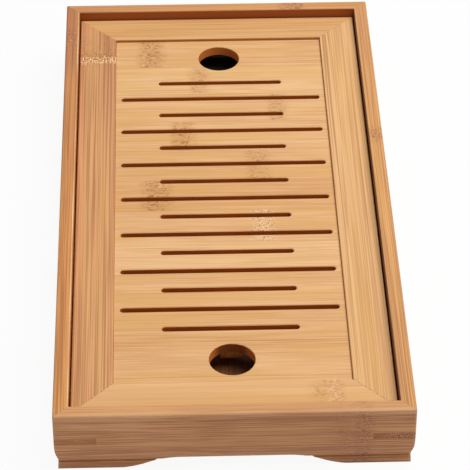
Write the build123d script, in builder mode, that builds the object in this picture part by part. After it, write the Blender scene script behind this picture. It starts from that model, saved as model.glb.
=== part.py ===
"""Gongfu tea tray: a bamboo box with a lift-off slatted lid over a drip tray.

Millimetres, +Z up. The origin is on the table under the middle of the tray,
the long side runs along Y and the front end faces -Y.
"""
import os
from math import sqrt

from build123d import *

# Plan of the box
tray_width = 140
tray_length = 280
wall_thickness = 12
corner_ease = 0.8

# Heights, stacked from the table to the rim
arch_height = 4.8
board_lip = 1.5
board_thickness = 2.4
drip_floor = 1.2
water_depth = 4.3
batten_height = 4.3
panel_thickness = 4.6
panel_recess = 1.2
lid_recess = 4.2

# Moulded outside of the walls, insets measured from the widest face
rim_outer_round = 0.7
belly_inset = 1.4
belly_above_arch = 0.2
quirk_below_arch = 0.7
quirk_width = 0.8
quirk_depth = 0.8
foot_inset = 1.2

# Rebate for the lid at the top of the walls
rim_width = 6.1
rim_inner_round = 0.6

# Bracket feet, left by an ogee arch in the lower edge of each wall
foot_length = 23
ogee_run = 26
ogee_turn_share = 0.5

# Keys let into the mitred corners of the box
key_leg = 16.5
key_thickness = 3.2
key_cover = 0.4
face_margin = 0.2

# Bottom board, held in a groove of the walls
groove_depth = 4.0
board_end_gap = 0.5
board_play = 0.1

# Drip tray, lying loose on the bottom board
drip_gap = 1.0
drip_headroom = 0.4
drip_flange = 3.0
drip_wall = 1.2
drip_corner = 9.0
drip_bend = 2.0
drip_draft_share = 0.12

# Frame of the lid
lid_thickness = 7.0
lid_gap = 0.5
rail_width = 16.4
rail_outer_round = 0.6
rail_inner_round = 0.5
spline_leg = 14
spline_thickness = 2.0

# Panel of the lid, tongued into the frame
tongue_thickness = 2.2
tongue_length = 4.5
tongue_end_gap = 0.5
tongue_play = 0.1
shoulder_gap = 0.12

# Drain slots and finger holes of the panel
hole_diameter = 18.5
hole_from_end = 14.2
hole_ease = 0.3
slot_pitch = 12.0
slot_width = 2.7
long_slot_margin = 2.5
short_slot_margin = 19.3
slot_ease = 0.3
slot_to_hole = 8.0

# Batten glued under the panel between the finger holes
batten_width = 9.0
batten_setback = 0.5
batten_ease = 0.6

# Extra length of a cut beyond the face that it leaves
overrun = 0.2

# Heights that follow from the stack
board_bottom = arch_height + board_lip
board_top = board_bottom + board_thickness
drip_floor_top = board_top + drip_floor
batten_bottom = drip_floor_top + water_depth
panel_bottom = batten_bottom + batten_height
panel_top = panel_bottom + panel_thickness
lid_top = panel_top + panel_recess
lid_bottom = lid_top - lid_thickness
spline_bottom = lid_bottom + (lid_thickness - spline_thickness) / 2
tray_height = lid_top + lid_recess

# Plan sizes that follow from the box
lid_width = tray_width - 2 * (rim_width + lid_gap)
lid_length = tray_length - 2 * (rim_width + lid_gap)
opening_width = lid_width - 2 * rail_width
opening_length = lid_length - 2 * rail_width
inner_width = tray_width - 2 * wall_thickness
inner_length = tray_length - 2 * wall_thickness

# The face of a wall is upright over the whole height of the corner keys
key_top = lid_bottom - key_cover
key_bottom = key_top - key_thickness
belly_top = key_bottom - face_margin

os.makedirs("parts", exist_ok=True)


def save(piece, name):
    """Label a finished piece and write its own file."""
    piece.part.label = name
    export_step(piece.part, f"parts/{name}.step")


def section_plane(inward, reach):
    """Plane across a board: x runs inwards from its outer face, y runs up."""
    return Plane(origin=inward * -reach, x_dir=inward, z_dir=inward.cross(Vector(0, 0, 1)))


def face_plane(inward, reach):
    """Plane on the outer face of a board: x runs along it, y runs up."""
    return Plane(origin=inward * -reach, x_dir=inward.cross(Vector(0, 0, 1)), z_dir=inward * -1)


def plan_plane(inward, reach):
    """Level plane on the table: x runs inwards from the outer face of a board, y along it."""
    return Plane(origin=inward * -reach, x_dir=inward, z_dir=(0, 0, 1))


def mitre_waste(plane, half_run, thickness):
    """Plan of what comes off both ends of a board: its mitres and the eased corners."""
    ease_depth = corner_ease * (1 - sqrt(1 / 2))
    inner = thickness + overrun
    with BuildSketch(plane) as waste:
        for end in (-1, 1):
            eased = end * (half_run - corner_ease)
            outer = end * (half_run + overrun)
            with BuildLine():
                ease = TangentArc((0, eased), (ease_depth, end * (half_run - ease_depth)), tangent=(0, end))
                mitre = Line(ease @ 1, (inner, end * (half_run - inner)))
                Polyline(mitre @ 1, (inner, outer), (-overrun, outer), (-overrun, eased), ease @ 0)
            make_face()
    return waste.sketch


def corner_triangle(side, end, half_width, half_length, leg, beyond):
    """Plan of a key across one outer corner, drawn out beyond both faces by that much."""
    Polygon(
        (side * (half_width + beyond), end * (half_length + beyond)),
        (side * (half_width - leg - beyond), end * (half_length + beyond)),
        (side * (half_width + beyond), end * (half_length - leg - beyond)),
        align=None,
    )


def wall_outline(plane):
    """Section of a wall: moulded outside, rebate for the lid, groove for the board."""
    belly_bottom = arch_height + belly_above_arch
    quirk_top = arch_height - quirk_below_arch
    quirk_bottom = quirk_top - quirk_width
    groove_face = wall_thickness - groove_depth
    groove_top = board_top + board_play
    with BuildSketch(plane) as outline:
        with BuildLine():
            Line((0, tray_height - rim_outer_round), (0, belly_top))
            belly = TangentArc((0, belly_top), (belly_inset, belly_bottom), tangent=(0, -1))
            Polyline(
                belly @ 1,
                (belly_inset, quirk_top),
                (belly_inset + quirk_depth, (quirk_top + quirk_bottom) / 2),
                (belly_inset, quirk_bottom),
                (foot_inset, 0),
                (wall_thickness, 0),
                (wall_thickness, board_bottom),
                (groove_face, board_bottom),
                (groove_face, groove_top),
                (wall_thickness, groove_top),
                (wall_thickness, lid_bottom),
                (rim_width, lid_bottom),
                (rim_width, tray_height - rim_inner_round),
            )
            inner = TangentArc(
                (rim_width, tray_height - rim_inner_round),
                (rim_width - rim_inner_round, tray_height),
                tangent=(0, 1),
            )
            top = Line(inner @ 1, (rim_outer_round, tray_height))
            TangentArc(top @ 1, (0, tray_height - rim_outer_round), tangent=(-1, 0))
        make_face()
    return outline.sketch


def arch_outline(plane, half_run):
    """Arch in the lower edge of a wall, with an ogee curve down to each foot."""
    foot_end = half_run - foot_length
    arch_end = foot_end - ogee_run
    turn_x = foot_end - ogee_run * ogee_turn_share
    turn_z = (arch_height + overrun) * ogee_turn_share - overrun
    with BuildSketch(plane) as outline:
        with BuildLine():
            rise = TangentArc((-foot_end, -overrun), (-turn_x, turn_z), tangent=(1, 0))
            level = TangentArc(rise @ 1, (-arch_end, arch_height), tangent=rise % 1)
            flat = Line(level @ 1, (arch_end, arch_height))
            drop = TangentArc(flat @ 1, (turn_x, turn_z), tangent=(1, 0))
            land = TangentArc(drop @ 1, (foot_end, -overrun), tangent=drop % 1)
            Line(land @ 1, (-foot_end, -overrun))
        make_face()
    return outline.sketch


def make_wall(name, inward, reach, half_run):
    """One wall of the box, mitred at both ends and cut for the corner keys."""
    with BuildPart() as wall:
        extrude(wall_outline(section_plane(inward, reach)), amount=half_run, both=True)
        ends = mitre_waste(plan_plane(inward, reach), half_run, wall_thickness)
        extrude(ends, amount=tray_height, mode=Mode.SUBTRACT)
        arch = arch_outline(face_plane(inward, reach), half_run)
        extrude(arch, amount=-wall_thickness, mode=Mode.SUBTRACT)
        with BuildSketch(Plane.XY.offset(key_bottom)):
            for side in (-1, 1):
                for end in (-1, 1):
                    corner_triangle(side, end, tray_width / 2, tray_length / 2, key_leg, overrun)
        extrude(amount=key_thickness, mode=Mode.SUBTRACT)
    save(wall, name)


def make_corner_key(name, side, end):
    """Flat key across a mitred corner of the box, flush with both faces."""
    with BuildPart() as key:
        with BuildSketch(Plane.XY.offset(key_bottom)):
            corner_triangle(side, end, tray_width / 2, tray_length / 2, key_leg, 0)
            RectangleRounded(tray_width, tray_length, corner_ease, mode=Mode.INTERSECT)
        extrude(amount=key_thickness)
    save(key, name)


def make_bottom_board():
    """Bottom board, its edges in the groove of the walls."""
    tongue = groove_depth - board_end_gap
    with BuildPart() as board:
        with BuildSketch(Plane.XY.offset(board_bottom)):
            Rectangle(inner_width + 2 * tongue, inner_length + 2 * tongue)
        extrude(amount=board_thickness)
    save(board, "bottom_board")


def make_drip_tray():
    """Thin moulded tray with sloping sides and a flat flange to lift it by."""
    rim_height = lid_bottom - drip_headroom
    side_height = rim_height - board_top
    spread = side_height * drip_draft_share
    flange_width = inner_width - 2 * drip_gap
    flange_length = inner_length - 2 * drip_gap
    mouth_width = flange_width - 2 * drip_flange
    mouth_length = flange_length - 2 * drip_flange
    floor_width = mouth_width - 2 * spread
    floor_length = mouth_length - 2 * spread
    floor_spread = drip_floor * drip_draft_share
    mouth_corner = drip_corner - drip_wall
    with BuildPart() as drip:
        with BuildSketch(Plane.XY.offset(board_top)):
            RectangleRounded(floor_width, floor_length, drip_corner - spread)
        with BuildSketch(Plane.XY.offset(rim_height)):
            RectangleRounded(mouth_width, mouth_length, drip_corner)
        loft(ruled=True)
        fillet(drip.faces().sort_by(Axis.Z)[0].edges(), drip_bend)
        with BuildSketch(Plane.XY.offset(rim_height - drip_wall)):
            RectangleRounded(flange_width, flange_length, drip_corner + drip_flange)
        extrude(amount=drip_wall)
    with BuildPart() as hollow:
        with BuildSketch(Plane.XY.offset(drip_floor_top)):
            RectangleRounded(
                floor_width + 2 * (floor_spread - drip_wall),
                floor_length + 2 * (floor_spread - drip_wall),
                mouth_corner - spread + floor_spread,
            )
        with BuildSketch(Plane.XY.offset(rim_height)):
            RectangleRounded(mouth_width - 2 * drip_wall, mouth_length - 2 * drip_wall, mouth_corner)
        loft(ruled=True)
        fillet(hollow.faces().sort_by(Axis.Z)[0].edges(), drip_bend)
    with BuildPart() as tray:
        add(drip.part)
        add(hollow.part, mode=Mode.SUBTRACT)
    save(tray, "drip_tray")


def rail_outline(plane):
    """Section of a lid rail: eased top edges and a groove for the panel."""
    groove_face = rail_width - tongue_length - tongue_end_gap
    groove_top = panel_bottom + tongue_thickness + tongue_play
    with BuildSketch(plane) as outline:
        with BuildLine():
            Polyline(
                (0, lid_top - rail_outer_round),
                (0, lid_bottom),
                (rail_width, lid_bottom),
                (rail_width, panel_bottom),
                (groove_face, panel_bottom),
                (groove_face, groove_top),
                (rail_width, groove_top),
                (rail_width, lid_top - rail_inner_round),
            )
            inner = TangentArc(
                (rail_width, lid_top - rail_inner_round),
                (rail_width - rail_inner_round, lid_top),
                tangent=(0, 1),
            )
            top = Line(inner @ 1, (rail_outer_round, lid_top))
            TangentArc(top @ 1, (0, lid_top - rail_outer_round), tangent=(-1, 0))
        make_face()
    return outline.sketch


def make_rail(name, inward, reach, half_run):
    """One rail of the lid frame, mitred and cut for the corner splines."""
    with BuildPart() as rail:
        extrude(rail_outline(section_plane(inward, reach)), amount=half_run, both=True)
        ends = mitre_waste(plan_plane(inward, reach), half_run, rail_width)
        extrude(ends, amount=tray_height, mode=Mode.SUBTRACT)
        with BuildSketch(Plane.XY.offset(spline_bottom)):
            for side in (-1, 1):
                for end in (-1, 1):
                    corner_triangle(side, end, lid_width / 2, lid_length / 2, spline_leg, overrun)
        extrude(amount=spline_thickness, mode=Mode.SUBTRACT)
    save(rail, name)


def make_lid_spline(name, side, end):
    """Thin spline across a mitred corner of the lid frame."""
    with BuildPart() as spline:
        with BuildSketch(Plane.XY.offset(spline_bottom)):
            corner_triangle(side, end, lid_width / 2, lid_length / 2, spline_leg, 0)
            RectangleRounded(lid_width, lid_length, corner_ease, mode=Mode.INTERSECT)
        extrude(amount=spline_thickness)
    save(spline, name)


def slot_places():
    """Places of the slots along Y, long ones and short ones in turn."""
    reach = opening_length / 2 - hole_from_end - hole_diameter / 2 - slot_to_hole
    last = int(reach / slot_pitch)
    places = [step * slot_pitch for step in range(-last, last + 1)]
    return places[last % 2::2], places[(last + 1) % 2::2]


def make_lid_panel():
    """Panel with drain slots and two finger holes, tongued on all four edges."""
    long_slot = opening_width - 2 * long_slot_margin
    short_slot = opening_width - 2 * short_slot_margin
    long_places, short_places = slot_places()
    hole_y = opening_length / 2 - hole_from_end
    with BuildPart() as panel:
        with BuildSketch(Plane.XY.offset(panel_bottom)):
            Rectangle(opening_width + 2 * tongue_length, opening_length + 2 * tongue_length)
        extrude(amount=tongue_thickness)
        with BuildSketch(Plane.XY.offset(panel_bottom)):
            Rectangle(opening_width - 2 * shoulder_gap, opening_length - 2 * shoulder_gap)
        extrude(amount=panel_thickness)
        with BuildSketch(Plane.XY.offset(panel_bottom)):
            with Locations(*[(0, y) for y in long_places]):
                SlotOverall(long_slot, slot_width)
            with Locations(*[(0, y) for y in short_places]):
                SlotOverall(short_slot, slot_width)
        extrude(amount=panel_thickness, mode=Mode.SUBTRACT)
        top_face = panel.faces().filter_by(Plane.XY).sort_by(Axis.Z)[-1]
        chamfer([edge for wire in top_face.inner_wires() for edge in wire.edges()], slot_ease)
        with BuildSketch(Plane.XY.offset(panel_bottom)):
            with Locations((0, hole_y), (0, -hole_y)):
                Circle(hole_diameter / 2)
        extrude(amount=panel_thickness, mode=Mode.SUBTRACT)
        rims = panel.edges().filter_by(GeomType.CIRCLE)
        rims = rims.filter_by(lambda edge: abs(edge.radius - hole_diameter / 2) < slot_ease)
        fillet(rims, hole_ease)
    save(panel, "lid_panel")


def make_lid_batten():
    """Batten under the panel, on its centre line between the finger holes."""
    hole_edge = opening_length / 2 - hole_from_end - hole_diameter / 2
    with BuildPart() as batten:
        with BuildSketch(Plane.XY.offset(batten_bottom)):
            Rectangle(batten_width, 2 * (hole_edge - batten_setback))
        extrude(amount=batten_height)
        chamfer(batten.faces().sort_by(Axis.Z)[0].edges(), batten_ease)
    save(batten, "lid_batten")


inward_from = {
    "front": Vector(0, 1, 0),
    "back": Vector(0, -1, 0),
    "left": Vector(1, 0, 0),
    "right": Vector(-1, 0, 0),
}
for place, inward in inward_from.items():
    across = place in ("front", "back")
    wall_reach = (tray_length if across else tray_width) / 2
    wall_run = (tray_width if across else tray_length) / 2
    make_wall(f"{place}_wall", inward, wall_reach, wall_run)
    rail_reach = (lid_length if across else lid_width) / 2
    rail_run = (lid_width if across else lid_length) / 2
    make_rail(f"lid_{place}_rail", inward, rail_reach, rail_run)

for end_name, end in (("front", -1), ("back", 1)):
    for side_name, side in (("left", -1), ("right", 1)):
        make_corner_key(f"corner_key_{end_name}_{side_name}", side, end)
        make_lid_spline(f"lid_spline_{end_name}_{side_name}", side, end)

make_bottom_board()
make_drip_tray()
make_lid_panel()
make_lid_batten()

print(f"tray {tray_width} x {tray_length} x {tray_height:.1f} mm")
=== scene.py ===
"""Looks of the bamboo tea tray: camera, light, floor and materials.

Metres, in the frame of the CAD model. Lengths and places in the materials are
in millimetres, because that is the scale of the wood's detail. All tones are
linear colours.
"""
from math import pi, radians

import bpy
from mathutils import Matrix, Vector

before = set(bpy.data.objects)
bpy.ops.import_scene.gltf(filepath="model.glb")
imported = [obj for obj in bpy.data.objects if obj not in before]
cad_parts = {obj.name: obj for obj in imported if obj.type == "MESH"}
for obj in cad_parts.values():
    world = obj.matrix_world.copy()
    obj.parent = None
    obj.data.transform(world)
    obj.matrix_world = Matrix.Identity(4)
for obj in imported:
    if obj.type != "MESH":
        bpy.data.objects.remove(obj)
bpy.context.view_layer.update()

# Camera that was fitted to the photograph's edges, on a 470 x 470 image
CAMERA_PLACE = Vector((-0.023474, -0.842966, 0.691133))
CAMERA_PITCH = radians(-39.2321)
CAMERA_YAW = radians(-1.8916)
CAMERA_ROLL = radians(0.1842)
CAMERA_NEAR = 0.01
SENSOR_WIDTH = 36.0
LENS = 192.976

# Light and floor
WORLD_STRENGTH = 0.20
KEY_POWER = 17.5
KEY_SIZE = 1.1
KEY_PLACE = Vector((0.45, 0.10, 1.20))
WHITE = (1.0, 1.0, 1.0)
FLOOR_SIZE = 12.0
FLOOR_TONES = ((0.80, 0.80, 0.80), (0.84, 0.84, 0.84))
FLOOR_ROUGHNESS = 0.9
FLOOR_WHITE_SHARE = 0.93

# Dark and light tone of each wood
PANEL_TONES = ((0.660, 0.343, 0.140), (0.810, 0.476, 0.222))
FRONT_RAIL_TONES = ((0.640, 0.335, 0.134), (0.815, 0.478, 0.210))
BACK_RAIL_TONES = ((0.590, 0.292, 0.108), (0.750, 0.417, 0.170))
LEFT_RAIL_TONES = ((0.478, 0.216, 0.078), (0.738, 0.388, 0.152))
RIGHT_RAIL_TONES = ((0.632, 0.329, 0.133), (0.804, 0.470, 0.208))
FRONT_WALL_TONES = ((0.470, 0.189, 0.077), (0.736, 0.349, 0.153))
BACK_WALL_TONES = ((0.461, 0.188, 0.066), (0.722, 0.352, 0.132))
LEFT_WALL_TONES = ((0.464, 0.178, 0.050), (0.724, 0.329, 0.096))
RIGHT_WALL_TONES = ((0.472, 0.203, 0.070), (0.738, 0.375, 0.135))
BOARD_TONES = ((0.550, 0.300, 0.125), (0.720, 0.430, 0.195))
# Brighter than the other bamboo, as painted light on the batten's end, which lies in shade
BATTEN_PAINTED_LIGHT_TONES = ((0.660, 0.240, 0.070), (0.960, 0.500, 0.190))
KEY_TONES = ((0.425, 0.153, 0.059), (0.650, 0.263, 0.101))
PLASTIC_TONES = ((0.026, 0.020, 0.018), (0.042, 0.033, 0.028))

# Tones of fibres, knuckles and seams; the fibres' tone also paints shadow lines at the panel's edges
HONEY_TONE = (0.700, 0.375, 0.110)
FIBRE_AND_SHADOW_TONE = (0.36, 0.150, 0.050)
NODE_TONE = (0.42, 0.165, 0.035)
MAUVE_TONE = (0.38, 0.140, 0.066)
SCAR_TONE = (0.90, 0.58, 0.32)
SPECK_TONE = (0.15, 0.05, 0.018)
SEAM_TONE = (0.16, 0.065, 0.025)

# Tones of cut faces and of the lid's outer sides, of painted shade and painted light on faces, and the
# pale tone of painted highlights and of the keys' dots
# Own darker tone of the cut slot walls, with painted shade of the narrow slots
CUT_AND_SHADE_TONE = (0.60, 0.155, 0.016)
# Painted light on the finger holes' walls
HOLE_LIGHT_TONE = (0.88, 0.270, 0.050)
# Painted shade in the middle of the near hole and on the batten's top
PAINTED_SHADE_TONE = (0.20, 0.055, 0.015)
# Painted shade on the lid's inner steps that face away from the lamp
STEP_SHADE_TONE = (0.48, 0.190, 0.040)
EDGE_TONE = (0.52, 0.250, 0.098)
# Painted shade on the front rim's top
RIM_SHADE_TONE = (0.58, 0.298, 0.108)
# Painted shade on the walls' inner faces
INNER_SHADE_TONE = (0.38, 0.098, 0.020)
# Painted shade on the left wall's inner face in the gap
GAP_SHADE_TONE = (0.46, 0.150, 0.025)
# Painted shade on the right wall's inner face, away from the lamp
DEEP_SHADE_TONE = (0.130, 0.034, 0.007)
SHADOW_TONE = (0.090, 0.038, 0.020)
# Pale tone of painted highlights and of the keys' pale dots
PALE_DOT_AND_HIGHLIGHT_TONE = (0.90, 0.60, 0.34)
# Painted warm light that the wood throws onto the tray's floor
WARM_BOUNCE_TONE = (0.27, 0.098, 0.030)

# Tones that a colour is multiplied by
ROSY_SHADE = (0.97, 0.80, 0.98)
RIGHT_KEY_SHADE = (0.83, 0.79, 0.85)

MILLIMETRES = 1000.0

# Half width and half length of the box, the lid and the lid's panel
BOX_EDGES = (70.0, 140.0)
LID_EDGES = (63.4, 133.4)
PANEL_EDGES = (46.9, 116.9)

# Finger holes: how far they lie from the middle, how far their walls reach, and how far from the
# middle line the near one's wall gets painted shade and how strongly
HOLE_PLACE = 102.8
HOLE_REACH = 9.6
HOLE_SHADE = (4.5, 7.5, 0.75)

# Slices of the noise, so that no two of these patterns are alike
CURL_SLICE = 1.3
WARM_SPREAD_SLICE = 2.0
RAGGED_SLICE = 3.7
WARM_RUNS_SLICE = 4.0
ZIGZAG_SLICE = 5.0
HIGHLIGHT_SLICE = 6.0
SCAR_SPOTS_SLICE = 8.0

# Layers of bamboo fibre: length, width, detail and roughness of the noise, and
# how far the layer moves the colour between the dark and the light tone
FIBRE_LAYERS = {
    "cloud": (34.0, 16.0, 2.0, 0.5, 0.20),
    "broad": (220.0, 5.0, 2.0, 0.5, 0.16),
    "medium": (150.0, 1.5, 2.0, 0.6, 0.20),
    "fine": (48.0, 0.58, 1.0, 0.5, 0.50),
    "hair": (20.0, 0.40, 1.0, 0.5, 0.46),
}
STRIP_CONTRAST = 0.26
MIDDLE_TONE = 0.56

# Darker single fibres: their share, and how strongly and how softly they crowd
# in a piece's crowded band
SINGLE_FIBRE_SHARE = 0.55
CROWD_STRENGTH = 2.2
CROWD_SOFT = 1.5

# Shares of the tints in a knuckle, how ragged its ends are and how fast that
# changes along the grain, and where its tint starts to fade and ends, as shares
# of its half length
KNUCKLE_TINT = 0.28
PALE_KNUCKLE_TINT = 0.30
PALE_DASH_SHARE = 0.75
DARK_DASH_SHARE = 0.95
KNUCKLE_RAGGED = 5.0
RAGGED_PACE = 0.05
RAGGED_SCALE = 0.8
KNUCKLE_CORE = 0.25
KNUCKLE_END = 1.15

# Curl of the dashes in a knuckle: its length and width, and how far it reaches
CURL_LENGTH = 4.2
CURL_WIDTH = 3.0
CURL_REACH = 5.5

# Dashes and specks in a knuckle: length, width and start of their noise, and
# the range of the noise over which they come up
SPECKS = (0.66, 0.60, 4.0, 0.60, 0.67)
DARK_DASHES = (2.2, 0.60, 0.0, 0.55, 0.62)
PALE_DASHES = (2.4, 0.75, 9.0, 0.56, 0.66)
WIDE_PALE_DASHES = (1.8, 0.80, 9.0, 0.50, 0.60)

# Scars: reach and width of their zigzag, length and width of the torn spots, and
# how far the pale and the dark line lie before the zigzag
SCAR_ZIGZAG = 9.0
ZIGZAG_WIDTH = 1.1
SCAR_SPOT_LENGTH = 1.3
SCAR_SPOT_WIDTH = 0.7
SCAR_PALE_SHIFT = 1.8
SCAR_DARK_SHIFT = 0.2

# Seams and the painted shadow lines at the panel's right and back edges: half widths where a line is
# full and where it ends, and its strength
GLUE_LINE = (0.10, 0.35, 0.26)
MITRE_LINE = (0.10, 0.42, 1.0)
RIGHT_SHADOW_LINE = (0.10, 0.50, 0.25)
BACK_SHADOW_LINE = (0.10, 0.55, 0.60)
CLOSED_MITRE = 0.10
MITRE_FRONT = -100.0
MITRE_MIDDLE = 0.0
MITRE_BACK_SHARE = 0.45

# Heights over which the painted highlight below the rim starts, over which the foot steps out to the
# wall, and over which the painted highlight of its corners gives way to the wall's
RIM_HIGHLIGHT = (26.6, 27.6)
FOOT_STEP = (4.6, 6.5)
FOOT_HIGHLIGHT = (3.5, 6.5)
FOOT_SET_BACK = 1.4
FOOT_CORNER_HIGHLIGHT = 0.30
WALL_CORNER_HIGHLIGHT = 0.15

# Painted highlight line at the rim: share of its half width where it is full, and the length over
# which it changes
HIGHLIGHT_CORE = 0.4
HIGHLIGHT_LENGTH = 45.0

# Painted warm light on the drip tray's floor under the near hole: width and length of its runs, where
# it ends along the tray, and where it ends above the floor
WARM_RUN_WIDTH = 0.9
WARM_RUN_LENGTH = 30.0
WARM_BOUNCE_END = (-94.0, -74.0)
WARM_BOUNCE_TOP = (10.2, 11.5)

# Keys: length and width of their streaks, where the shade of the right ones
# begins, where their dots grow strong, and how strong the dots are before that
KEY_STREAK_LENGTH = 9.0
KEY_STREAK_WIDTH = 0.7
RIGHT_HALF = (-10.0, 10.0)
STRONG_DOTS = (57.0, 63.0)
FAINT_DOTS = 0.22
PALE_DOT_SHARE = 0.6

# Part of a face's direction from which it starts to count as facing that way,
# and from which it fully does
FACING = (0.3, 0.8)
# Strength of the painted shade on end faces
END_SHADE_SHARE = 0.92

# Specular level, and the range of the roughness
WOOD_GLOSS = 0.3
PLASTIC_GLOSS = 0.35
WOOD_ROUGHNESS = (0.40, 0.54)
KEY_ROUGHNESS = (0.46, 0.60)
PLASTIC_ROUGHNESS = (0.34, 0.48)


class Graph:
    """A node tree, with short calls for the nodes that it needs."""

    def __init__(self, tree):
        self.tree = tree

    def node(self, kind, **settings):
        made = self.tree.nodes.new(kind)
        for key, value in settings.items():
            setattr(made, key, value)
        return made

    def feed(self, socket, value):
        """Link a socket or set a plain value."""
        if isinstance(value, bpy.types.NodeSocket):
            self.tree.links.new(value, socket)
        elif isinstance(value, tuple) and socket.type == "RGBA":
            socket.default_value = (*value, 1.0)
        else:
            socket.default_value = value

    def feed_all(self, made, values):
        for socket, value in zip(made.inputs, values):
            self.feed(socket, value)
        return made.outputs[0]

    def math(self, operation, *values, clamp=False):
        made = self.node("ShaderNodeMath", operation=operation, use_clamp=clamp)
        return self.feed_all(made, values)

    def add(self, first, second):
        return self.math("ADD", first, second)

    def subtract(self, first, second):
        return self.math("SUBTRACT", first, second)

    def multiply(self, first, second):
        return self.math("MULTIPLY", first, second)

    def divide(self, first, second):
        return self.math("DIVIDE", first, second)

    def larger(self, first, second):
        return self.math("MAXIMUM", first, second)

    def size(self, value):
        return self.math("ABSOLUTE", value)

    def distance(self, first, second):
        return self.size(self.subtract(first, second))

    def swing(self, noise, reach):
        """Noise from 0 to 1 as an offset to both sides of 0."""
        middle = 0.5
        return self.multiply(self.subtract(noise, middle), reach)

    def ramp(self, value, low, high, start=0.0, end=1.0):
        """Smooth step from start to end as the value goes from low to high."""
        made = self.node("ShaderNodeMapRange", interpolation_type="SMOOTHSTEP")
        return self.feed_all(made, (value, low, high, start, end))

    def fall(self, value, low, high, start=1.0):
        """Smooth step from start down to nothing as the value goes from low to high."""
        return self.ramp(value, low, high, start, 0.0)

    def mix(self, share, first, second, blend="MIX"):
        """Colour between two others. The node's colour sockets are numbers 6 and 7."""
        made = self.node("ShaderNodeMix", data_type="RGBA", blend_type=blend)
        self.feed(made.inputs[0], share)
        self.feed(made.inputs[6], first)
        self.feed(made.inputs[7], second)
        return made.outputs[2]

    def mix_shaders(self, share, first, second):
        made = self.node("ShaderNodeMixShader")
        return self.feed_all(made, (share, first.outputs[0], second.outputs[0]))

    def vector(self, x, y, z):
        return self.feed_all(self.node("ShaderNodeCombineXYZ"), (x, y, z))

    def noise(self, vector, scale=1.0, detail=2.0, roughness=0.5):
        made = self.node("ShaderNodeTexNoise")
        self.feed(made.inputs["Vector"], vector)
        self.feed(made.inputs["Scale"], scale)
        self.feed(made.inputs["Detail"], detail)
        self.feed(made.inputs["Roughness"], roughness)
        return made.outputs[0]

    def patches(self, x, y, z, detail=1.0, roughness=0.5):
        """Noise at a point whose coordinates are values, or values with a grain size."""
        point = [self.divide(*given) if isinstance(given, tuple) else given for given in (x, y, z)]
        return self.noise(self.vector(*point), 1.0, detail, roughness)

    def random(self, value):
        made = self.node("ShaderNodeTexWhiteNoise", noise_dimensions="1D")
        self.feed(made.inputs["W"], value)
        return made.outputs["Value"]

    def split(self, vector):
        parts = self.node("ShaderNodeSeparateXYZ")
        self.feed(parts.inputs[0], vector)
        return tuple(parts.outputs)

    def place(self):
        """The x, y and z of a point on its own body, in millimetres."""
        coordinates = self.node("ShaderNodeTexCoord")
        scaled = self.node("ShaderNodeVectorMath", operation="SCALE")
        self.feed(scaled.inputs[0], coordinates.outputs["Object"])
        self.feed(scaled.inputs["Scale"], MILLIMETRES)
        return self.split(scaled.outputs[0])

    def normal(self):
        """The x, y and z of the surface's own direction."""
        coordinates = self.node("ShaderNodeTexCoord")
        return self.split(coordinates.outputs["Normal"])

    def white_share(self):
        """One for what the camera sees directly, in a reflection or through glass."""
        path = self.node("ShaderNodeLightPath")
        seen = self.larger(path.outputs["Is Camera Ray"], path.outputs["Is Glossy Ray"])
        return self.larger(seen, path.outputs["Is Transmission Ray"])


class Surface(Graph):
    """The node tree of a new material."""

    def __init__(self, name):
        self.material = bpy.data.materials.new(name)
        self.material.use_nodes = True
        super().__init__(self.material.node_tree)
        self.shader = self.tree.nodes["Principled BSDF"]
        self.output = self.tree.nodes["Material Output"]

    def finish(self, colour, roughness, gloss):
        self.feed(self.shader.inputs["Base Color"], colour)
        self.feed(self.shader.inputs["Roughness"], roughness)
        self.feed(self.shader.inputs["Specular IOR Level"], gloss)

    def relief(self, height, strength, depth):
        """Fine bumps from a height between 0 and 1. The depth is in metres."""
        bump = self.node("ShaderNodeBump")
        self.feed(bump.inputs["Strength"], strength)
        self.feed(bump.inputs["Distance"], depth)
        self.feed(bump.inputs["Height"], height)
        self.feed(self.shader.inputs["Normal"], bump.outputs[0])


class Bamboo:
    """How one bamboo piece looks. Lengths and places are in millimetres."""

    # Strips that the piece is glued from, and whether the glue lines show
    strip_width = 20.9
    strip_start = 0.0
    glue_lines = True

    # Contrast of the streaks and of the dark single fibres, and factors on the
    # fibres' length, on their width, and on their size from top to bottom
    streaks = 1.0
    lines = 1.0
    stretch = 1.0
    slim = 1.0
    upright = 1.0

    # Lowest and highest place across the grain where dark fibres crowd together
    crowded = None

    # Shares of the honey and rosy tints, and stretches in another tone, some of them painted shade:
    # "along" or "across" the grain, lowest and highest place, softness, tone
    honey = 0.5
    rosy = 0.0
    shades = ()

    # Knuckles: place along the grain, half length, lowest and highest place
    # across the grain, strength. Scars: place along the grain, strength
    knuckles = ()
    pale_knuckles = ()
    scars = ()
    stain = NODE_TONE
    speckled = 0.9

    # Half width and half length of the mitred frame, and how far its seams open
    mitre = None
    open_seams = 0.3

    # Tones of slot walls and finger holes, with painted shade and painted light, painted shade on
    # sides that face the tray's middle, the tone of sides that face away from it, and painted shade on
    # the top
    cut_and_shade_tone = None
    hole_light_tone = None
    inner_shade_tone = None
    outer_tone = None
    top_shade_tone = None
    top_shade_share = 1.0

    # Painted shade on end faces, darker towards the bottom: its heights of full and of no shade, and
    # its tone
    shaded_ends = None

    # Painted shadow line at the right and back edge, a top edge with a painted highlight (place across
    # the grain, half width, strength), and a frame whose corners have a painted highlight
    edge_shadows = None
    highlit_edge = None
    highlit_corners = None

    def __init__(self, name, grain, tones, seed, **settings):
        self.name = name
        self.grain = grain
        self.tones = tones
        self.seed = seed
        for key, value in settings.items():
            if not hasattr(Bamboo, key):
                raise AttributeError(f"{name}: bamboo has no setting {key}")
            setattr(self, key, value)


class Rail(Bamboo):
    """A rail of the lid's frame."""

    glue_lines = False
    mitre = LID_EDGES
    outer_tone = EDGE_TONE


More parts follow.
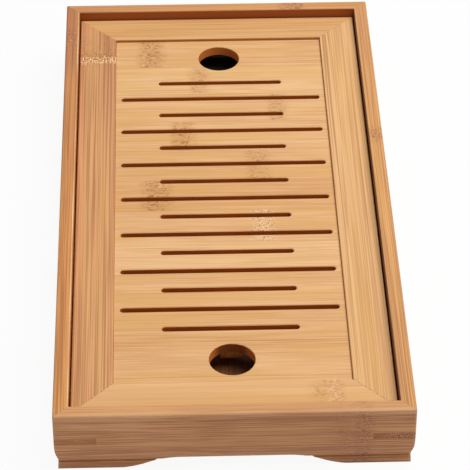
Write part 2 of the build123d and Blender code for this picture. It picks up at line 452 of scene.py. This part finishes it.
class Wall(Bamboo):
    """A wall of the box."""

    strip_width = 6.0
    glue_lines = False
    mitre = BOX_EDGES
    # Painted highlight on the upright corners
    highlit_corners = BOX_EDGES


class Spot:
    """A point of a bamboo piece: where it lies on its body and which way it faces."""

    def __init__(self, graph, grain):
        self.x, self.y, self.z = graph.place()
        facing_x, facing_y, self.facing_up = graph.normal()
        if grain == "x":
            self.along, self.across = self.x, self.y
            facing_along, facing_across = facing_x, facing_y
        else:
            self.along, self.across = self.y, self.x
            facing_along, facing_across = facing_y, facing_x
        self.facing_end = graph.size(facing_along)
        self.facing_out = graph.multiply(facing_across, graph.math("SIGN", self.across))

    def from_edges(self, graph, edges):
        """How far the point lies in from the sides and from the ends of a frame."""
        half_width, half_length = edges
        from_side = graph.subtract(half_width, graph.size(self.x))
        from_end = graph.subtract(half_length, graph.size(self.y))
        return from_side, from_end


class Fibres:
    """Noise drawn out along the grain, with other fibres on each strip of a piece."""

    # How fast and how far the fibres wander across the grain
    wander_pace = 0.012
    wander_reach = 0.8

    # Steps that keep the strips of one piece, and the pieces, apart
    strip_step = 400.0
    seed_step = 7.31

    def __init__(self, graph, piece, spot):
        self.graph = graph
        self.piece = piece
        wander = graph.patches(graph.multiply(spot.along, self.wander_pace), piece.seed, 0.0)
        self.across = graph.add(spot.across, graph.multiply(wander, self.wander_reach))
        strips = graph.divide(graph.subtract(spot.across, piece.strip_start), piece.strip_width)
        count = graph.math("FLOOR", strips)
        self.strip_tone = graph.random(graph.add(count, piece.seed * self.seed_step))
        self.along = graph.add(graph.multiply(self.strip_tone, self.strip_step), spot.along)
        self.z = spot.z

    def noise(self, length, width, detail=1.0, roughness=0.5):
        length *= self.piece.stretch
        width *= self.piece.slim
        height = width * self.piece.upright
        return self.graph.patches(
            (self.along, length), (self.across, width), (self.z, height), detail, roughness
        )


def add_tints(graph, piece, spot, fibres, colour):
    """Honey and rosy streaks, and the stretches of another tone, some of them painted shade."""
    patches = fibres.noise(length=60.0, width=9.0, detail=2.0)
    honey = graph.ramp(patches, low=0.45, high=0.68, end=piece.honey)
    colour = graph.mix(honey, colour, HONEY_TONE)
    if piece.rosy:
        bands = fibres.noise(length=90.0, width=2.6, detail=2.0)
        rosy = graph.ramp(bands, low=0.46, high=0.60, end=piece.rosy)
        colour = graph.mix(rosy, colour, ROSY_SHADE, "MULTIPLY")
    for direction, low, high, soft, tone in piece.shades:
        place = spot.along if direction == "along" else spot.across
        rising = graph.ramp(place, low - soft, low)
        falling = graph.fall(place, high, high + soft)
        colour = graph.mix(graph.multiply(rising, falling), colour, tone, "MULTIPLY")
    return colour


def add_single_fibres(graph, piece, spot, fibres, colour):
    """Darker single fibres, which lie close together here and there."""
    bands = fibres.noise(length=120.0, width=7.0)
    crowd = graph.ramp(bands, low=0.40, high=0.62, start=0.35)
    if piece.crowded:
        low, high = piece.crowded
        reach = (high - low) / 2
        away = graph.distance(spot.across, (low + high) / 2)
        crowd = graph.larger(crowd, graph.fall(away, reach, reach + CROWD_SOFT, CROWD_STRENGTH))
    threads = fibres.noise(length=110.0, width=0.70)
    single = graph.ramp(threads, low=0.60, high=0.72, end=SINGLE_FIBRE_SHARE * piece.lines)
    return graph.mix(graph.multiply(single, crowd), colour, FIBRE_AND_SHADOW_TONE)


def knuckle_mask(graph, spot, knuckles):
    """One at the middle of each knuckle, falling to nothing at its ragged ends."""
    point = graph.vector(graph.multiply(spot.along, RAGGED_PACE), spot.across, RAGGED_SLICE)
    ragged = graph.swing(graph.noise(point, scale=RAGGED_SCALE, roughness=0.6), KNUCKLE_RAGGED)
    mask = None
    for centre, reach, low, high, strength in knuckles:
        away = graph.size(graph.add(graph.subtract(spot.along, centre), ragged))
        fade = graph.fall(away, reach * KNUCKLE_CORE, reach * KNUCKLE_END, strength)
        inside = graph.math("COMPARE", spot.across, (low + high) / 2, (high - low) / 2)
        one = graph.multiply(fade, inside)
        mask = one if mask is None else graph.larger(mask, one)
    return mask


def add_knuckles(graph, piece, spot, colour):
    """Brown tint, dark and pale dashes and specks where the bamboo had a joint.

    A pale knuckle has pale wood and specks, without the brown tint.
    """
    curl = graph.patches((spot.along, CURL_LENGTH), (spot.across, CURL_WIDTH), CURL_SLICE)
    curled = graph.add(spot.across, graph.swing(curl, CURL_REACH))

    def dashes(kind, across=curled):
        length, width, start, low, high = kind
        along = graph.add(graph.divide(spot.along, length), start)
        return graph.ramp(graph.patches(along, (across, width), (spot.z, width)), low, high)

    specks = dashes(SPECKS, spot.across)
    if piece.pale_knuckles:
        mask = knuckle_mask(graph, spot, piece.pale_knuckles)
        colour = graph.mix(graph.multiply(mask, PALE_KNUCKLE_TINT), colour, SCAR_TONE)
        pale = graph.multiply(dashes(WIDE_PALE_DASHES), mask)
        colour = graph.mix(graph.multiply(pale, PALE_DASH_SHARE), colour, SCAR_TONE)
        colour = graph.mix(graph.multiply(specks, mask), colour, SPECK_TONE)
    if piece.knuckles:
        mask = knuckle_mask(graph, spot, piece.knuckles)
        colour = graph.mix(graph.multiply(mask, KNUCKLE_TINT), colour, piece.stain)
        pale = graph.multiply(dashes(PALE_DASHES), mask)
        colour = graph.mix(graph.multiply(pale, PALE_DASH_SHARE), colour, piece.tones[1])
        dark = graph.multiply(dashes(DARK_DASHES), mask)
        colour = graph.mix(graph.multiply(dark, DARK_DASH_SHARE), colour, piece.stain)
        few = graph.multiply(graph.multiply(specks, mask), piece.speckled)
        colour = graph.mix(few, colour, SPECK_TONE)
    return colour


def add_scars(graph, piece, spot, colour):
    """Zigzag scars of knuckles: pale torn spots beside a dark line across the grain."""
    jagged = graph.patches(0.0, (spot.across, ZIGZAG_WIDTH), ZIGZAG_SLICE, detail=2.0, roughness=0.6)
    zigzag = graph.swing(jagged, SCAR_ZIGZAG)
    along = (spot.along, SCAR_SPOT_LENGTH)
    across = (spot.across, SCAR_SPOT_WIDTH)
    spots = graph.patches(along, across, SCAR_SPOTS_SLICE)
    for centre, strength in piece.scars:
        away = graph.add(graph.subtract(spot.along, centre), zigzag)
        from_pale = graph.size(graph.add(away, SCAR_PALE_SHIFT))
        pale = graph.fall(from_pale, low=1.4, high=3.4, start=strength)
        pale = graph.multiply(pale, graph.ramp(spots, low=0.44, high=0.58))
        colour = graph.mix(pale, colour, SCAR_TONE)
        from_dark = graph.size(graph.add(away, SCAR_DARK_SHIFT))
        dark = graph.fall(from_dark, low=1.0, high=3.2, start=strength)
        dark = graph.multiply(dark, graph.fall(spots, low=0.42, high=0.56, start=0.85))
        colour = graph.mix(dark, colour, NODE_TONE)
    return colour


def add_glue_lines(graph, piece, spot, colour):
    """Fine lines between the glued strips."""
    from_start = graph.subtract(spot.across, piece.strip_start)
    from_line = graph.math("PINGPONG", from_start, piece.strip_width / 2)
    return graph.mix(graph.fall(from_line, *GLUE_LINE), colour, FIBRE_AND_SHADOW_TONE)


def add_mitre(graph, piece, spot, colour):
    """Seam of a mitre joint: a thin line, here and there open and dark, most at the front."""
    from_side, from_end = spot.from_edges(graph, piece.mitre)
    seam = graph.fall(graph.distance(from_side, from_end), *MITRE_LINE)
    spots = graph.noise(graph.vector(spot.x, spot.y, piece.seed), scale=0.9, detail=1.0)
    openness = graph.ramp(spots, 0.46, 0.62, CLOSED_MITRE, piece.open_seams)
    strength = graph.ramp(spot.y, MITRE_FRONT, MITRE_MIDDLE, 1.0, MITRE_BACK_SHARE)
    seam = graph.multiply(graph.multiply(seam, openness), strength)
    return graph.mix(seam, colour, SEAM_TONE)


def add_edge_shadows(graph, piece, spot, colour):
    """Painted shadow lines that the rails cast onto the panel at its right and back edges."""
    right, back = piece.edge_shadows
    from_right = graph.subtract(right, spot.x)
    from_back = graph.subtract(back, spot.y)
    shadow_line = graph.larger(
        graph.fall(from_right, *RIGHT_SHADOW_LINE),
        graph.fall(from_back, *BACK_SHADOW_LINE),
    )
    return graph.mix(shadow_line, colour, FIBRE_AND_SHADOW_TONE)


def add_edge_highlight(graph, piece, spot, colour):
    """Painted highlight along a top edge, uneven along its length."""
    place, reach, strength = piece.highlit_edge
    away = graph.distance(spot.across, place)
    line = graph.fall(away, reach * HIGHLIGHT_CORE, reach, strength)
    painted_highlight = graph.multiply(line, graph.ramp(spot.z, *RIM_HIGHLIGHT))
    uneven = graph.patches((spot.along, HIGHLIGHT_LENGTH), piece.seed, HIGHLIGHT_SLICE)
    painted_highlight = graph.multiply(painted_highlight, graph.ramp(uneven, low=0.35, high=0.65, start=0.25, end=1.2))
    return graph.mix(painted_highlight, colour, PALE_DOT_AND_HIGHLIGHT_TONE)


def add_corner_highlights(graph, piece, spot, colour):
    """Painted highlight on the upright corners, most of all at the feet, which stand further in."""
    from_side, from_end = spot.from_edges(graph, piece.highlit_corners)
    set_back = graph.fall(spot.z, *FOOT_STEP, FOOT_SET_BACK)
    depth = graph.subtract(graph.larger(from_side, from_end), set_back)
    strength = graph.ramp(spot.z, *FOOT_HIGHLIGHT, FOOT_CORNER_HIGHLIGHT, WALL_CORNER_HIGHLIGHT)
    painted_highlight = graph.multiply(graph.fall(depth, low=0.4, high=1.0), strength)
    return graph.mix(painted_highlight, colour, PALE_DOT_AND_HIGHLIGHT_TONE)


def cut_wall_tone(graph, piece, spot):
    """Walls of slots in their own darker tone with painted shade, and of finger holes with painted
    light and painted shade in the middle of the near hole.
    """
    from_centre = graph.subtract(graph.size(spot.y), HOLE_PLACE)
    squares = graph.add(graph.multiply(spot.x, spot.x), graph.multiply(from_centre, from_centre))
    in_hole = graph.math("LESS_THAN", graph.math("SQRT", squares), HOLE_REACH)
    near_middle = graph.fall(graph.size(spot.x), *HOLE_SHADE)
    dark = graph.multiply(near_middle, graph.math("LESS_THAN", spot.y, 0.0))
    return graph.mix(in_hole, piece.cut_and_shade_tone, graph.mix(dark, piece.hole_light_tone, PAINTED_SHADE_TONE))


def add_face_tones(graph, piece, spot, colour):
    """Cut walls in their own darker tone with painted shade and painted light, painted shade on inner
    sides, tops and low end faces, and a darker tone on outer sides.
    """
    # Slot walls get their own darker tone with painted shade, finger holes get painted light
    if piece.cut_and_shade_tone:
        upright = graph.fall(graph.size(spot.facing_up), low=0.2, high=0.6)
        colour = graph.mix(upright, colour, cut_wall_tone(graph, piece, spot))
    # Painted shade on sides that face the tray's middle
    if piece.inner_shade_tone:
        inner = graph.fall(spot.facing_out, low=-0.8, high=-0.3)
        colour = graph.mix(inner, colour, piece.inner_shade_tone)
    if piece.outer_tone:
        outer = graph.ramp(spot.facing_out, *FACING)
        colour = graph.mix(outer, colour, piece.outer_tone)
    # Painted shade on tops
    if piece.top_shade_tone:
        top = graph.ramp(spot.facing_up, *FACING, end=piece.top_shade_share)
        colour = graph.mix(top, colour, piece.top_shade_tone)
    # Painted shade on end faces, darker towards the bottom
    if piece.shaded_ends:
        low, high, tone = piece.shaded_ends
        end_grain = graph.ramp(spot.facing_end, *FACING)
        shade = graph.multiply(graph.fall(spot.z, low, high, END_SHADE_SHARE), end_grain)
        colour = graph.mix(shade, colour, tone)
    return colour


def bamboo(piece):
    """Bamboo strips glued side by side, with the grain along one axis."""
    graph = Surface(piece.name)
    spot = Spot(graph, piece.grain)
    fibres = Fibres(graph, piece, spot)

    value = graph.swing(fibres.strip_tone, STRIP_CONTRAST)
    layers = {}
    for layer, (length, width, detail, roughness, reach) in FIBRE_LAYERS.items():
        layers[layer] = fibres.noise(length, width, detail, roughness)
        reach *= piece.streaks
        value = graph.add(value, graph.ramp(layers[layer], 0.3, 0.7, -reach, reach))
    value = graph.math("ADD", value, MIDDLE_TONE, clamp=True)
    dark, light = piece.tones
    colour = graph.mix(value, dark, light)

    colour = add_tints(graph, piece, spot, fibres, colour)
    colour = add_single_fibres(graph, piece, spot, fibres, colour)
    if piece.knuckles or piece.pale_knuckles:
        colour = add_knuckles(graph, piece, spot, colour)
    if piece.scars:
        colour = add_scars(graph, piece, spot, colour)
    if piece.glue_lines:
        colour = add_glue_lines(graph, piece, spot, colour)
    if piece.mitre:
        colour = add_mitre(graph, piece, spot, colour)
    if piece.edge_shadows:
        colour = add_edge_shadows(graph, piece, spot, colour)
    # Painted highlight along a top edge
    if piece.highlit_edge:
        colour = add_edge_highlight(graph, piece, spot, colour)
    # Painted highlight on upright corners
    if piece.highlit_corners:
        colour = add_corner_highlights(graph, piece, spot, colour)
    colour = add_face_tones(graph, piece, spot, colour)

    graph.finish(colour, graph.ramp(layers["medium"], 0.25, 0.75, *WOOD_ROUGHNESS), WOOD_GLOSS)
    graph.relief(layers["fine"], strength=0.22, depth=0.0002)
    return graph.material


def key_wood(name):
    """Dark hard wood of the corner keys, its fibres cut across and so dotted."""
    graph = Surface(name)
    x, y, z = graph.place()
    diagonal = graph.add(graph.size(x), graph.size(y))
    streaks = graph.patches((diagonal, KEY_STREAK_LENGTH), 0.0, (z, KEY_STREAK_WIDTH), detail=2.0)
    dots = graph.noise(graph.vector(x, y, z), scale=1.9, detail=1.0, roughness=0.4)
    dark, light = KEY_TONES
    colour = graph.mix(graph.ramp(streaks, 0.3, 0.7), dark, light)
    colour = graph.mix(graph.ramp(x, *RIGHT_HALF), colour, RIGHT_KEY_SHADE, "MULTIPLY")

    # The dots are strong near the tray's right side and faint elsewhere
    strength = graph.ramp(x, *STRONG_DOTS, start=FAINT_DOTS)
    dark_dots = graph.multiply(graph.ramp(dots, low=0.56, high=0.66), strength)
    colour = graph.mix(dark_dots, colour, SEAM_TONE)
    pale_dots = graph.multiply(graph.ramp(dots, low=0.42, high=0.34), strength)
    colour = graph.mix(graph.multiply(pale_dots, PALE_DOT_SHARE), colour, PALE_DOT_AND_HIGHLIGHT_TONE)

    graph.finish(colour, graph.ramp(streaks, 0.3, 0.7, *KEY_ROUGHNESS), WOOD_GLOSS)
    graph.relief(dots, strength=0.25, depth=0.0002)
    return graph.material


def black_plastic(name):
    """Moulded black plastic with a fine even texture, and brown runs of painted warm light, thrown by
    the wood, at its front end.
    """
    graph = Surface(name)
    x, y, z = graph.place()
    point = graph.vector(x, y, z)
    grit = graph.noise(point, scale=2.2, detail=3.0, roughness=0.6)
    smears = graph.noise(point, scale=0.05, detail=3.0, roughness=0.6)
    dark, light = PLASTIC_TONES
    colour = graph.mix(smears, dark, light)

    # The painted warm light lies on the floor only, in runs along the tray
    run_x = (x, WARM_RUN_WIDTH)
    run_y = (y, WARM_RUN_LENGTH)
    runs = graph.patches(run_x, run_y, WARM_RUNS_SLICE, detail=2.0, roughness=0.6)
    wide = graph.noise(graph.vector(x, y, WARM_SPREAD_SLICE), scale=0.06)
    facing_up = graph.normal()[2]
    warm_bounce = graph.fall(y, *WARM_BOUNCE_END)
    warm_bounce = graph.multiply(warm_bounce, graph.ramp(runs, low=0.35, high=0.65, start=0.45))
    warm_bounce = graph.multiply(warm_bounce, graph.ramp(wide, low=0.30, high=0.55, start=0.6))
    warm_bounce = graph.multiply(warm_bounce, graph.ramp(facing_up, low=0.3, high=0.9))
    warm_bounce = graph.multiply(warm_bounce, graph.fall(z, *WARM_BOUNCE_TOP))
    colour = graph.mix(warm_bounce, colour, WARM_BOUNCE_TONE)

    graph.finish(colour, graph.ramp(smears, 0.3, 0.7, *PLASTIC_ROUGHNESS), PLASTIC_GLOSS)
    graph.relief(grit, strength=0.15, depth=0.0001)
    return graph.material


def pale_floor(name):
    """Pale floor that looks white and keeps the tray's shadow."""
    graph = Surface(name)
    mottle = graph.noise(graph.vector(*graph.place()), scale=0.01)
    graph.feed(graph.shader.inputs["Base Color"], graph.mix(mottle, *FLOOR_TONES))
    graph.feed(graph.shader.inputs["Roughness"], FLOOR_ROUGHNESS)
    glow = graph.node("ShaderNodeEmission")
    share = graph.multiply(graph.white_share(), FLOOR_WHITE_SHARE)
    graph.feed(graph.output.inputs[0], graph.mix_shaders(share, graph.shader, glow))
    return graph.material


def make_floor():
    half = FLOOR_SIZE / 2
    mesh = bpy.data.meshes.new("floor")
    corners = [(-half, -half, 0), (half, -half, 0), (half, half, 0), (-half, half, 0)]
    mesh.from_pydata(corners, [], [(0, 1, 2, 3)])
    mesh.materials.append(pale_floor("floor_pale"))
    floor = bpy.data.objects.new("floor", mesh)
    bpy.context.scene.collection.objects.link(floor)


def make_world():
    """Even light from all round, white to the camera."""
    world = bpy.data.worlds.new("studio")
    world.use_nodes = True
    world.node_tree.nodes.clear()
    graph = Graph(world.node_tree)
    light = graph.node("ShaderNodeBackground")
    graph.feed(light.inputs["Color"], WHITE)
    graph.feed(light.inputs["Strength"], WORLD_STRENGTH)
    white = graph.node("ShaderNodeBackground")
    graph.feed(white.inputs["Color"], WHITE)
    output = graph.node("ShaderNodeOutputWorld")
    graph.feed(output.inputs[0], graph.mix_shaders(graph.white_share(), light, white))
    bpy.context.scene.world = world


def make_key_light():
    """Large soft lamp above the tray, to the right of it and a little behind."""
    lamp = bpy.data.lights.new("key_light", "AREA")
    lamp.shape = "SQUARE"
    lamp.size = KEY_SIZE
    lamp.energy = KEY_POWER
    key = bpy.data.objects.new("key_light", lamp)
    key.location = KEY_PLACE
    key.rotation_euler = (-KEY_PLACE).to_track_quat("-Z", "Y").to_euler()
    bpy.context.scene.collection.objects.link(key)


def make_camera():
    """Camera at the photograph's place."""
    data = bpy.data.cameras.new("camera")
    data.sensor_fit = "HORIZONTAL"
    data.sensor_width = SENSOR_WIDTH
    data.lens = LENS
    data.clip_start = CAMERA_NEAR
    camera = bpy.data.objects.new("camera", data)
    turn = Matrix.Rotation(CAMERA_YAW, 3, "Z")
    tilt = Matrix.Rotation(pi / 2 + CAMERA_PITCH, 3, "X")
    roll = Matrix.Rotation(CAMERA_ROLL, 3, "Z")
    camera.rotation_euler = (turn @ tilt @ roll).to_euler()
    camera.location = CAMERA_PLACE
    bpy.context.scene.collection.objects.link(camera)
    bpy.context.scene.camera = camera


def finish_with(material, *names):
    """Give whole CAD pieces one material."""
    for name in names:
        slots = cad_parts[name].data.materials
        slots.clear()
        slots.append(material)


bpy.context.scene.view_settings.view_transform = "Standard"
make_camera()
make_world()
make_key_light()
make_floor()

BAMBOO_PIECES = {
    "lid_panel": Bamboo(
        "bamboo_panel", "x", PANEL_TONES, 3.0,
        strip_start=-8.3, streaks=0.92, lines=0.7, stretch=1.1, slim=0.75,
        knuckles=(
            (-31.0, 7.0, 96.5, 117.5, 1.0),
            (-9.5, 5.5, 76.0, 96.1, 0.55),
            (25.0, 5.0, 54.6, 75.0, 0.6),
            (-17.3, 6.5, 33.7, 54.2, 0.8),
            (14.8, 6.5, 12.8, 33.3, 0.55),
            (-29.1, 7.5, -8.1, 12.4, 1.0),
        ),
        pale_knuckles=((15.6, 6.0, -29.0, -8.5, 0.9),),
        speckled=0.5,
        shades=(
            ("across", 75.3, 96.2, 0.2, (1.04, 1.09, 1.12)),
            ("across", -8.3, 12.6, 0.2, (0.97, 0.93, 0.88)),
            ("across", -50.1, -29.2, 0.2, (1.04, 1.08, 1.12)),
            ("across", -96.0, -87.5, 1.5, (0.94, 0.89, 0.80)),
        ),
        crowded=(-98.0, -89.0),
        # Painted shadow lines at the right and back edges
        edge_shadows=PANEL_EDGES,
        # Slot walls with painted shade, finger holes with painted light
        cut_and_shade_tone=CUT_AND_SHADE_TONE, hole_light_tone=HOLE_LIGHT_TONE,
    ),
    "lid_front_rail": Rail(
        "bamboo_front_rail", "x", FRONT_RAIL_TONES, 11.0,
        strip_width=8.2, strip_start=-133.4, streaks=0.38, lines=0.5, stretch=2.0,
        knuckles=((36.0, 8.0, -134.0, -116.5, 0.45),),
        scars=((41.0, 0.38),),
        speckled=0.2,
        open_seams=0.95,
    ),
    "lid_back_rail": Rail(
        "bamboo_back_rail", "x", BACK_RAIL_TONES, 12.0,
        strip_width=8.2, strip_start=117.0, lines=0.8, stretch=2.0,
        # Painted shade on the inner step
        inner_shade_tone=STEP_SHADE_TONE,
    ),
    "lid_left_rail": Rail(
        "bamboo_left_rail", "y", LEFT_RAIL_TONES, 13.0,
        strip_width=5.5, strip_start=-63.4, streaks=1.05, stretch=3.0, honey=0.2, rosy=0.4,
        knuckles=(
            (103.0, 6.5, -64.0, -46.5, 0.7),
            (109.0, 14.0, -64.0, -46.5, 0.30),
        ),
        scars=((103.0, 1.0),),
        # Darker towards the back end: painted shade
        shades=(("along", 85.0, 140.0, 60.0, (0.90, 0.87, 0.90)),),
    ),
    "lid_right_rail": Rail(
        "bamboo_right_rail", "y", RIGHT_RAIL_TONES, 14.0,
        strip_width=5.5, strip_start=47.0, streaks=1.6, lines=2.0, stretch=3.0,
        open_seams=0.95,
        # Painted shade on the inner step
        inner_shade_tone=STEP_SHADE_TONE,
    ),
    "front_wall": Wall(
        "bamboo_front_wall", "x", FRONT_WALL_TONES, 21.0,
        strip_start=-140.0, streaks=1.45, lines=0.8, stretch=1.1, slim=0.6, honey=0.12,
        knuckles=(
            (49.7, 4.8, -141.0, -127.0, 0.8),
            (45.0, 9.0, -141.0, -127.0, 0.40),
        ),
        stain=MAUVE_TONE, speckled=0.35,
        shades=(("along", -75.0, -42.0, 30.0, (1.13, 1.17, 1.20)),),
        # Painted highlight along the rim's outer edge
        highlit_edge=(-139.2, 1.4, 0.40),
        # Painted shade on the inner face and on the rim's top
        inner_shade_tone=INNER_SHADE_TONE, top_shade_tone=RIM_SHADE_TONE, top_shade_share=0.5,
    ),
    "back_wall": Wall(
        "bamboo_back_wall", "x", BACK_WALL_TONES, 22.0,
        strip_start=128.0, streaks=0.9, lines=0.8, stretch=2.5, rosy=0.35,
        knuckles=((35.0, 7.0, 127.0, 141.0, 1.0),),
        stain=MAUVE_TONE,
        # Painted shade on the inner face
        inner_shade_tone=INNER_SHADE_TONE,
    ),
    "left_wall": Wall(
        "bamboo_left_wall", "y", LEFT_WALL_TONES, 23.0,
        strip_start=-70.0, streaks=1.1, stretch=2.5, honey=0.3, rosy=0.45,
        knuckles=((114.0, 8.5, -71.0, -58.0, 1.0),),
        stain=MAUVE_TONE,
        # Darker towards the back end: painted shade
        shades=(
            ("along", 60.0, 140.0, 120.0, (0.88, 0.88, 0.92)),
            ("along", 98.0, 140.0, 25.0, (0.83, 0.77, 0.90)),
        ),
        # Painted highlight along the rim's inner edge
        highlit_edge=(-64.15, 0.6, 0.85),
        # Painted shade on the inner face in the gap
        inner_shade_tone=GAP_SHADE_TONE,
    ),
    "right_wall": Wall(
        "bamboo_right_wall", "y", RIGHT_WALL_TONES, 24.0,
        strip_start=58.0, streaks=1.1, stretch=2.5, honey=0.3, rosy=0.3,
        knuckles=((36.0, 7.0, 58.0, 71.0, 0.7),),
        stain=MAUVE_TONE,
        # Darker towards the back end: painted shade
        shades=(("along", 110.0, 140.0, 60.0, (0.92, 0.92, 0.95)),),
        # Painted shade on the inner face
        inner_shade_tone=DEEP_SHADE_TONE,
    ),
    "bottom_board": Bamboo(
        "bamboo_board", "y", BOARD_TONES, 31.0,
        streaks=1.2, lines=1.3, stretch=2.0, slim=0.8, honey=0.3,
    ),
    "lid_batten": Bamboo(
        "bamboo_batten", "y", BATTEN_PAINTED_LIGHT_TONES, 32.0,
        glue_lines=False, upright=8.0,
        # Painted shade on the top and on the lower end faces
        top_shade_tone=PAINTED_SHADE_TONE,
        shaded_ends=(14.0, 17.8, SHADOW_TONE),
    ),
}
for name, piece in BAMBOO_PIECES.items():
    finish_with(bamboo(piece), name)

finish_with(
    key_wood("key_wood"),
    "corner_key_front_left", "corner_key_front_right", "corner_key_back_left", "corner_key_back_right",
    "lid_spline_front_left", "lid_spline_front_right", "lid_spline_back_left", "lid_spline_back_right",
)
finish_with(black_plastic("black_plastic"), "drip_tray")
